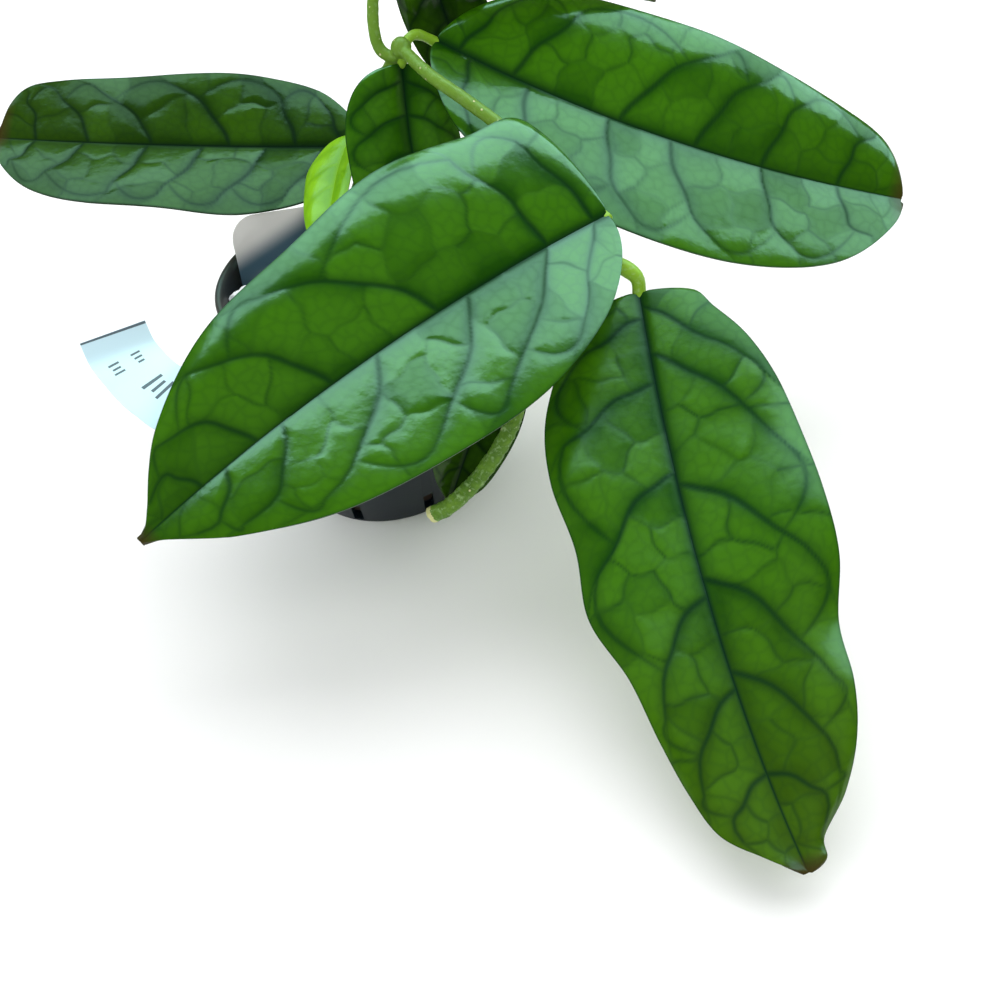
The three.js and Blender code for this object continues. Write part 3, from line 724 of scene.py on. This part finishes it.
def leafBack(name, tone):
    # the underside is paler and duller than the waxed face
    material, shader, add = newMaterial(name, {"Roughness": 0.5, "IOR": 1.45})
    place = add("TexCoord")
    vein = add("Attribute", {"attribute_name": "vein"})
    patches = add("TexNoise", {"Scale": 1 / (9 * mm), "Detail": 4}, {"Vector": place})
    blade = add("Mix", {"data_type": "RGBA", 6: tone["bright"], 7: "#7f9c4e"}, {0: patches})
    veined = add("Mix", {"data_type": "RGBA", 7: "#9fb56a"}, {0: vein, 6: blade})
    plug(shader, {"Base Color": veined})
    return material


def greenStem(name, young, old, knobs):
    # living green bark: dull, a little knobbly, with pale breathing pores
    material, shader, add = newMaterial(name, {"Roughness": 0.45, "IOR": 1.45, "Specular IOR Level": 0.3})
    place = add("TexCoord")
    patches = add("TexNoise", {"Scale": 1 / (7 * mm), "Detail": 4}, {"Vector": place})
    warts = add("TexNoise", {"Scale": 1 / (1.7 * mm), "Detail": 4, "Roughness": 0.6}, {"Vector": place})
    # the old hanging end is far more warty and mottled than the shoots above it
    height = add("SeparateXYZ", links={0: place}).node.outputs["Z"]
    oldness = add("MapRange", {
        "From Min": 110 * mm, "From Max": 80 * mm, "To Min": 0.25}, {"Value": height})
    both = add("Math", {"operation": "ADD"}, {0: patches, 1: warts})
    spread = add("MapRange", {"From Min": 0.7, "From Max": 1.3}, {"Value": both})
    mottled = add("Math", {"operation": "MULTIPLY"}, {0: spread, 1: oldness})
    bark = add("Mix", {"data_type": "RGBA", 6: young, 7: old}, {0: mottled})
    pores = add("TexVoronoi", {"Scale": 1 / (2.6 * mm), "Randomness": 1}, {"Vector": place})
    small = add("MapRange", {
        "interpolation_type": "SMOOTHSTEP", "From Min": 0.2, "From Max": 0.12}, {"Value": pores})
    where = add("MapRange", {
        "interpolation_type": "SMOOTHSTEP", "From Min": 0.48, "From Max": 0.6}, {"Value": patches})
    dot = add("Math", {"operation": "MULTIPLY"}, {0: small, 1: where})
    dotted = add("Mix", {"data_type": "RGBA", 7: "#dfe3a8"}, {0: dot, 6: bark})
    flecks = add("MapRange", {"From Min": 0.52, "From Max": 0.68, "To Max": 0.7}, {"Value": warts})
    worn = add("Math", {"operation": "MULTIPLY"}, {0: flecks, 1: oldness})
    flecked = add("Mix", {"data_type": "RGBA", 7: "#a9cb86"}, {0: worn, 6: dotted})
    raised = add("Math", {"operation": "MULTIPLY_ADD"}, {0: oldness, 1: warts, 2: dot})
    bump = add("Bump", {"Strength": knobs, "Distance": 0.4 * mm}, {"Height": raised})
    plug(shader, {"Base Color": flecked, "Normal": bump})
    return material


stalkGreen = greenStem("leaf stalk", "#8ab82c", "#628f1e", 0.25)
faceLooks = {name: waxyLeaf("waxed leaf " + name, tone) for name, tone in tones.items()}
backLooks = {name: leafBack("leaf underside " + name, tone) for name, tone in tones.items()}
firstSeed = 11
for seed, (name, leaf) in enumerate(leaves.items(), firstSeed):
    blade = makeBlade(name + "_blade", leaf, seed)
    stalk = makeStalk(leaf)
    blade.data.materials.append(faceLooks[leaf["tone"]])
    blade.data.materials.append(backLooks[leaf["tone"]])
    stalk.data.materials.append(stalkGreen)
    piece = joinPieces(name + "_blade", [blade, stalk])
    finishPiece(piece, [name], degrees=60)


stems = {
    "vine_main": [
        {"line": ((15, 24, 40), (15, 27, 82), (15, 38, 108), (21, 45, 131), (31, 39, 147)),
         "radius": (2.6, 2.3), "steps": 90},
        {"line": ((31, 39, 147), (39, 22, 144), (50, 11, 138), (59, 3, 132), (71, -6, 119), (74, -15, 110),
                  (72, -22, 102), (65, -37, 89), (55, -51, 79), (49, -60, 64), (38, -65, 49), (23, -69, 37),
                  (16, -68, 33)), "radius": (2.1, 2.9), "steps": 190},
        {"line": ((31, 39, 147), (28, 40, 144), (24, 42, 146), (23, 44, 153), (27, 51, 170), (33, 55, 184)),
         "radius": (2.1, 1.9), "steps": 80},
    ],
    "vine_back": [
        {"line": ((-2, 27, 40), (-1, 29, 82), (6, 42, 97), (18, 56, 104)), "radius": (2.3, 2), "steps": 80},
    ],
}
stemForm = {"voxel": 0.45, "knobs": 0.34, "knobSize": 1.9, "oldBelow": (80, 105), "cutDepth": 1.8}


def cutWood():
    # the cut end: pale wet wood with a brown pith
    material, shader, add = newMaterial("fresh cut wood", {"Roughness": 0.6})
    place = add("TexCoord")
    end = stems["vine_main"][1]["line"][-1]
    centred = add("Mapping", {"Location": [-value * mm for value in end]}, {"Vector": place})
    far = add("VectorMath", {"operation": "LENGTH"}, {0: centred})
    pith = add("MapRange", {
        "interpolation_type": "SMOOTHSTEP", "From Min": 0.5 * mm, "From Max": 1.3 * mm}, {"Value": far})
    wood = add("Mix", {"data_type": "RGBA", 6: "#8f6b45", 7: "#d3d294"}, {0: pith})
    plug(shader, {"Base Color": wood})
    return material


def makeStem(name, runs):
    pieces = []
    for run in runs:
        line = evenLine(run["line"], run["steps"])
        radii = np.linspace(*run["radius"], len(line))
        pieces.append(addTube(name, line, radii))
        for node in nodes.values():
            if any(np.allclose(point, node["at"]) for point in run["line"]):
                place = Vector(node["at"]) * mm
                bpy.ops.mesh.primitive_uv_sphere_add(
                    segments=32, ring_count=16, radius=node["radius"] * mm, location=place)
                pieces.append(bpy.context.object)
    stem = joinPieces(name + "_stem", pieces)
    applyModifier(stem, "REMESH", {"mode": "VOXEL", "voxel_size": stemForm["voxel"] * mm})
    applyModifier(stem, "SMOOTH", {"factor": 0.5, "iterations": 4})
    points = readPoints(stem)
    normals = np.zeros(len(points) * 3)
    stem.data.vertices.foreach_get("normal", normals)
    lumps = [noise.fractal(Vector(point) / stemForm["knobSize"], 1, 2, 3) for point in points]
    age = np.interp(points[:, 2], stemForm["oldBelow"], (1, 0.3))
    writePoints(stem, points + normals.reshape(-1, 3) * (stemForm["knobs"] * age * lumps)[:, None])
    return stem


stemGreen = greenStem("green vine bark", "#6d962e", "#3f6620", 0.9)
woodEnd = cutWood()
for name, runs in stems.items():
    stem = makeStem(name, runs)
    stem.data.materials.append(stemGreen)
    if name == "vine_main":
        stem.data.materials.append(woodEnd)
        before, end = (np.array(point, float) for point in runs[1]["line"][-2:])
        for face in stem.data.polygons:
            ahead = (np.array(face.center) / mm - end) @ unit(end - before)
            if ahead > -stemForm["cutDepth"]:
                face.material_index = 1
    finishPiece(stem, [name], degrees=60)


pot = {
    "height": 90, "rimRadius": 46.5, "baseRadius": 35.5, "wall": 1.6, "floor": 2.6, "lipHeight": 9,
    "lipStep": 1.6, "footRise": 1.8, "footRound": 1.2, "lipRound": 1.4, "sides": 144,
    "slots": 8, "slotWidth": 4, "slotHeight": 8, "slotFoot": 1.4, "slotTurn": 22,
}


def potRadius(z):
    return pot["baseRadius"] + (pot["rimRadius"] - pot["lipStep"] - pot["baseRadius"]) * z / pot["height"]


def blackPlastic():
    # moulded polypropylene with carbon black: satin, with a fine grain and dust towards the rim
    material, shader, add = newMaterial("moulded black polypropylene", {"Roughness": 0.42, "IOR": 1.49})
    place = add("TexCoord")
    dust = add("TexNoise", {"Scale": 1 / (14 * mm), "Detail": 6, "Roughness": 0.65}, {"Vector": place})
    height = add("SeparateXYZ", links={0: place}).node.outputs["Z"]
    upper = add("MapRange", {"From Min": 78 * mm, "From Max": 92 * mm, "To Max": 0.85}, {"Value": height})
    settled = add("Math", {"operation": "MULTIPLY"}, {0: dust, 1: upper})
    colour = add("Mix", {"data_type": "RGBA", 6: "#111c23", 7: "#453a30"}, {0: settled})
    grain = add("TexNoise", {"Scale": 1 / (0.9 * mm), "Detail": 2}, {"Vector": place})
    bump = add("Bump", {"Strength": 0.2, "Distance": 0.08 * mm}, {"Height": grain})
    plug(shader, {"Base Color": colour, "Normal": bump})
    return material


def potOutline():  # up the outside, over the rolled lip, down the inside and in to the middle of the floor
    height, base, wall, roll = (pot[key] for key in ("height", "baseRadius", "wall", "lipRound"))
    lipFoot = height - pot["lipHeight"]
    lipMiddle = (pot["rimRadius"] - roll, height - roll)
    outline = [(base - pot["footRound"], 0), (base - 0.35, 0.35), (base, pot["footRound"])]
    outline += [(potRadius(z), z) for z in (30, 60)]
    outline += [(potRadius(lipFoot) - 0.1, lipFoot - 0.6), (potRadius(lipFoot) + 0.4, lipFoot - 0.15)]
    outline.append((potRadius(lipFoot) + pot["lipStep"], lipFoot))
    for step in range(7):
        turn = math.radians(22.5 * step)
        outline.append((lipMiddle[0] + roll * math.cos(turn), lipMiddle[1] + roll * math.sin(turn)))
    outline += [(potRadius(z) - wall, z) for z in (height - 3, 60, 30, pot["floor"] + pot["footRise"])]
    outline.append((potRadius(pot["floor"]) - wall - 2, pot["floor"]))
    return outline


def makePot():
    body = turnPiece("pot_body", potOutline(), pot["sides"])
    cutters = []
    for k in range(pot["slots"]):
        turn = math.radians(pot["slotTurn"] + 360 * k / pot["slots"])
        middle = (pot["baseRadius"] * math.cos(turn), pot["baseRadius"] * math.sin(turn),
                  pot["slotHeight"] / 2 + pot["slotFoot"])
        bpy.ops.mesh.primitive_cube_add(size=1, location=Vector(middle) * mm, rotation=(0, 0, turn))
        cutter = bpy.context.object
        cutter.scale = (5 * pot["wall"] * mm, pot["slotWidth"] * mm, pot["slotHeight"] * mm)
        cutters.append(cutter)
    cutter = joinPieces("slotCutter", cutters)
    applyModifier(body, "BOOLEAN", {"operation": "DIFFERENCE", "object": cutter, "solver": "EXACT"})
    bpy.data.objects.remove(cutter)
    finishPiece(body, ["pot"], blackPlastic(), 35)


makePot()


soil = {
    "top": 79, "swell": 2.2, "wallGap": 0.45, "edgeDip": 1, "sides": 96, "rings": 44,
    "grit": 0.7, "gritSize": 3.1, "sink": 0.3, "margin": 3, "lift": 0.15, "tilt": 0.35,
    "chips": 210, "crumbs": 420, "perlite": 46, "fibres": 46,
    "clear": ((15, 27, 4.2), (-1, 29, 3.8), (-34.5, -1, 8.5)),  # round the two vines and the perlite lump
}


def heave(x, y):  # the same uneven top as the solid has
    return soil["swell"] * (
        0.45 * math.sin(x * 0.16 + 1) * math.cos(y * 0.19)
        + 0.3 * math.sin(x * 0.37 - y * 0.31)
        + 0.25 * math.cos(x * 0.11 + y * 0.43 + 2))


def soilReach(z):
    return potRadius(z) - pot["wall"] - soil["wallGap"]


def earth(name, light, dark, roughness, grain):
    # crumbly and dull: its colour and its relief come from the same grain, given in millimetres
    material, shader, add = newMaterial(name, {"Roughness": roughness, "IOR": 1.4})
    place = add("TexCoord")
    patches = add("TexNoise", {
        "Scale": 1 / (grain * mm), "Detail": 8, "Roughness": 0.7}, {"Vector": place})
    colour = add("Mix", {"data_type": "RGBA", 6: dark, 7: light}, {0: patches})
    bump = add("Bump", {"Strength": 0.7, "Distance": 0.4 * mm}, {"Height": patches})
    plug(shader, {"Base Color": colour, "Normal": bump})
    return material


def makeSoil():
    low, top = pot["floor"] + 0.3, soil["top"]
    outline = [(soilReach(low) - 2.2, low), (soilReach(low + 1.8), low + 1.8), (soilReach(40), 40),
               (soilReach(top), top - soil["edgeDip"])]
    outline += [(soilReach(top) * (1 - k / soil["rings"]), top) for k in range(1, soil["rings"])]
    bed = turnPiece("potting_mix", outline, soil["sides"])
    points = readPoints(bed)
    for k, (x, y, z) in enumerate(points):
        if z > top - 0.5:
            rough = noise.fractal(Vector((x, y, 0)) / soil["gritSize"], 0.8, 2.1, 5)
            points[k, 2] = top + heave(x, y) + soil["grit"] * rough - soil["sink"]
    writePoints(bed, points)
    # damp peat and coir, nearly black
    finishPiece(bed, ["soil"], earth("damp peat and coir", "#4a3a2c", "#1a1410", 0.95, 2.2), 60)


def scatterOn(name, material, seed, count, first):
    # copies of the first piece, each sized, turned and set on the mix at a random place
    random = np.random.default_rng(seed)
    copies = []
    while len(copies) < count:
        radius = (soilReach(soil["top"]) - soil["margin"]) * math.sqrt(random.random())
        turn = random.uniform(0, 2 * math.pi)
        size = random.uniform(0.6, 1.35)
        spins = random.uniform(0, 2 * math.pi, 3)
        x, y = radius * math.cos(turn), radius * math.sin(turn)
        if any(math.hypot(x - a, y - b) < reach for a, b, reach in soil["clear"]):
            continue
        copy = first.copy()
        copy.data = first.data.copy()
        bpy.context.scene.collection.objects.link(copy)
        copy.location = Vector((x, y, soil["top"] + heave(x, y) + soil["lift"])) * mm
        copy.rotation_euler = (soil["tilt"] * math.sin(spins[0]), soil["tilt"] * math.sin(spins[1]), spins[2])
        copy.scale = (size, size * random.uniform(0.7, 1.1), size)
        copies.append(copy)
    bpy.data.objects.remove(first)
    finishPiece(joinPieces(name, copies), (), material, 40)


def addBit(radius, cuts, rough, lumps, stretch=(1, 1, 1)):  # a small ball pushed about by a noise of lumps mm
    bpy.ops.mesh.primitive_ico_sphere_add(subdivisions=cuts, radius=radius * mm)
    bit = bpy.context.object
    bit.scale = stretch
    bpy.ops.object.transform_apply()
    shift = Vector((3.1, 1.7, 5.2))
    points = readPoints(bit)
    for k, point in enumerate(points):
        points[k] = point * (1 + rough * noise.noise(Vector(point) / lumps + shift))
    writePoints(bit, points)
    return bit


def addFibre():
    line = [(-5, 0, 0), (-2.5, 0.8, 0.8), (0, 0, 1.2), (2.5, -0.9, 0.7), (5, 0.2, 0)]
    return addTube("fibre", evenLine(line, 8), [0.16] * 9, 8)


makeSoil()
# pine bark, coir crumbs and fibres, and expanded perlite, which is chalk white and full of pits
bark = earth("composted pine bark", "#6e4f37", "#2b1d14", 0.85, 3)
coir = earth("coir crumbs", "#5a4430", "#1d1610", 0.95, 1.5)
perliteLook = earth("expanded perlite", "#f4f7f9", "#cfd6da", 0.9, 1.2)
scatterOn("bark_chips", bark, 21, soil["chips"], addBit(2.6, 2, 0.5, 1.7, (1.4, 0.8, 0.42)))
scatterOn("coir_crumbs", coir, 22, soil["crumbs"], addBit(1.1, 1, 0.6, 0.8))
scatterOn("coir_fibres", bark, 24, soil["fibres"], addFibre())
scatterOn("perlite_grains", perliteLook, 23, soil["perlite"], addBit(1.5, 2, 0.45, 1))


def makePerliteLump():
    lump = {"place": (-34.3, -1, 84.2), "size": (7.8, 5.8, 5.2)}
    bpy.ops.mesh.primitive_ico_sphere_add(subdivisions=6, radius=1)
    piece = bpy.context.object
    piece.name = "perlite_pebble"
    p = unit(readPoints(piece))
    bump = 1 + 0.07 * np.sin(p[:, 0] * 7 + p[:, 1] * 5) + 0.06 * np.cos(p[:, 2] * 8 - p[:, 1] * 6)
    pits = np.array([noise.fractal(Vector(point) * 6, 0.7, 2, 4) for point in p])
    writePoints(piece, p * (bump + 0.03 * pits)[:, None] * lump["size"] + lump["place"])
    finishPiece(piece, ["perlite_lump"], perliteLook, 60)


makePerliteLump()


label = {
    "width": 22.5, "thickness": 0.6, "rows": 150, "columns": 14,
    "line": ((-15, -30, 60), (-16, -31, 82), (-17, -34, 93), (-20, -39, 97), (-28, -47, 97), (-38, -53, 92),
             (-48, -54, 87), (-57, -49, 83), (-63, -42, 82), (-68, -36, 82), (-73, -29, 84), (-77, -23, 87),
             (-79, -18, 92)),
    "across": ((0.89, -0.45, 0), (0.89, -0.45, 0), (0.89, -0.45, 0), (0.75, -0.6, -0.3), (0, -0.3, -0.95),
               (-0.8, -0.4, -0.3), (-0.9, -0.45, 0), (-0.9, -0.45, 0)),
}


def onStrip(share, side, lift):  # a place on the strip, side from -1 to 1 across, lift above its middle
    line = evenLine(label["line"], 400)
    shares = np.linspace(0, 1, len(line))
    centre = readAt(share, shares, line)
    along = unit(readAt(share, shares, unit(np.gradient(line, axis=0))))
    turned = throughPoints(label["across"], share)
    across = unit(turned - (turned * along).sum(1, keepdims=True) * along)
    up = np.cross(across, along)
    return centre + across * (side * label["width"] / 2)[:, None] + up * np.asarray(lift)[:, None]


def stripPatch(name, low, high, sides, lift, rows, columns):
    piece, x, y = addGrid(name, columns, rows)
    share = low + (high - low) * (y + 1) / 2
    side = sides[0] + (sides[1] - sides[0]) * (x + 1) / 2
    writePoints(piece, onStrip(share, side, np.full(len(x), lift)))
    return piece


def makeLabel():
    strip = stripPatch("label_sheet", 0, 1, (-1, 1), 0, label["rows"], label["columns"])
    applyModifier(strip, "SOLIDIFY", {"thickness": label["thickness"] * mm, "offset": 0})
    # polystyrene sheet for printing on: smooth, pale and a little cold
    material, shader, add = newMaterial("white polystyrene sheet", {"Roughness": 0.38, "IOR": 1.55})
    place = add("TexCoord")
    patches = add("TexNoise", {"Scale": 1 / (30 * mm), "Detail": 2}, {"Vector": place})
    colour = add("Mix", {"data_type": "RGBA", 6: "#b7d6e2", 7: "#c6e0ea"}, {0: patches})
    plug(shader, {"Base Color": colour})
    finishPiece(strip, ["label_strip"], material, 40)


def makeMarks():
    ink = {"thickness": 0.03, "lift": 0.02, "rows": 6, "columns": 10, "colour": "#4a5560"}
    # each bar's share along the strip, its length, its side and its width; the first is the dark end
    bars = [(0.996, 0.006, 0, 1.98)]
    bars += [(0.92 - 0.015 * k, 0.006, -0.3, 0.3 - 0.05 * k) for k in range(3)]
    bars += [(0.92 - 0.015 * k, 0.006, 0.42, 0.34 - 0.08 * (k % 2)) for k in range(3)]
    bars += [(0.81 - 0.03 * k, 0.012, -0.1, 0.7 - 0.2 * (k % 2)) for k in range(3)]
    pieces = []
    for middle, length, side, width in bars:
        sides = (side - width / 2, side + width / 2)
        for face in (-1, 1):
            lift = face * (label["thickness"] / 2 + ink["lift"])
            patch = stripPatch(
                "bar", middle - length / 2, middle + length / 2, sides, lift, ink["rows"], ink["columns"])
            applyModifier(patch, "SOLIDIFY", {"thickness": ink["thickness"] * mm, "offset": 0})
            pieces.append(patch)
    # dull ink that lies on the sheet
    look, _, _ = newMaterial("grey printing ink", {"Base Color": fromHex(ink["colour"]), "Roughness": 0.6})
    finishPiece(joinPieces("label_bars", pieces), (), look)


def vinylWithPaintedShade():
    # see-through pale grey vinyl, glossy on both faces; all but its upper left corner is turned dark
    # blue-grey by painted shade, not by a tint of the vinyl
    material, shader, add = newMaterial("vinyl sheet with painted shade", {
        "Roughness": 0.12, "IOR": 1.53, "Transmission Weight": 0.25})
    place = add("TexCoord")
    across = add("SeparateXYZ", links={0: place})
    height = across.node.outputs["Z"]
    slant = add("Math", {"operation": "MULTIPLY_ADD", 1: -2.5}, {0: height, 2: across})
    # painted shade: the sheet turns dark blue-grey below and to the right of a slanted line
    paintedShade = add("MapRange", {
        "interpolation_type": "SMOOTHSTEP", "From Min": -275 * mm, "From Max": -255 * mm}, {"Value": slant})
    colour = add("Mix", {"data_type": "RGBA", 6: "#d6d5d1", 7: "#46606f"}, {0: paintedShade})
    plug(shader, {"Base Color": colour})
    return material


def makeTag():
    tag = {"width": 44, "height": 44, "corner": 9, "thickness": 1, "place": (-17, 4, 64), "lean": 24}
    bpy.ops.mesh.primitive_cube_add(size=1, location=(0, tag["height"] / 2 * mm, 0))
    plate = bpy.context.object
    plate.name = "tag_plate"
    plate.scale = (tag["width"] * mm, tag["height"] * mm, tag["thickness"] * mm)
    bpy.ops.object.transform_apply()
    bpy.ops.object.mode_set(mode="EDIT")
    bpy.ops.mesh.select_mode(type="EDGE")
    bpy.ops.mesh.select_all(action="DESELECT")
    bpy.ops.object.mode_set(mode="OBJECT")
    for edge in plate.data.edges:  # the two upper corners
        a, b = (plate.data.vertices[k].co / mm for k in edge.vertices)
        edge.select = min(a.y, b.y) > 0.9 * tag["height"] and abs(a.z - b.z) > 0.5 * tag["thickness"]
    bpy.ops.object.mode_set(mode="EDIT")
    bpy.ops.mesh.bevel(offset=tag["corner"] * mm, segments=14, affect="EDGES")
    bpy.ops.object.mode_set(mode="OBJECT")
    applyModifier(plate, "BEVEL", {"width": 0.2 * mm, "segments": 2, "limit_method": "ANGLE"})
    plate.rotation_euler = (math.radians(90 - tag["lean"]), 0, 0)
    plate.location = Vector(tag["place"]) * mm
    bpy.ops.object.transform_apply()
    finishPiece(plate, ["tag_wide"], vinylWithPaintedShade(), 35)


makeLabel()
makeMarks()
makeTag()
